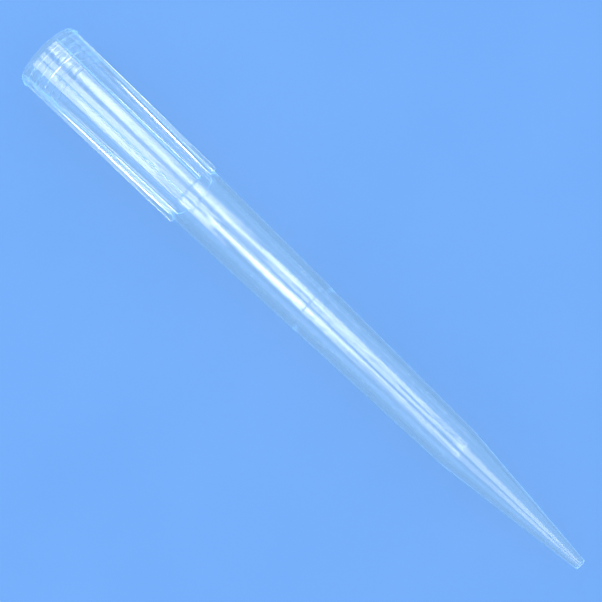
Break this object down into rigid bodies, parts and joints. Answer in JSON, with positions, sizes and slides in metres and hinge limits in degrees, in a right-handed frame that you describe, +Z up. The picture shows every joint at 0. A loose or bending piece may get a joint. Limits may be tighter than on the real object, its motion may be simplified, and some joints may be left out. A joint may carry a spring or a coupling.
{
  "type": "pipette tip",
  "caption": "Long clear plastic pipette tip: a ribbed collar with sealing rings in its mouth, a slender tapered body and a fine open point.",
  "frame": {"origin": "on the bench, under the middle of the lying tip's box", "axes": "+X along the lying tip from its rim to its open point, whose own axis dips 1.55 degrees towards the point; +Z up from the bench; +Y across"},
  "size_m": [0.084, 0.0082, 0.0085],
  "materials": {
    "clear_plastic": "clear moulded polypropylene, glossy, very slightly hazy"
  },
  "bodies": {
    "root": {"pipette_tip": "clear_plastic"}
  },
  "joints": []
}
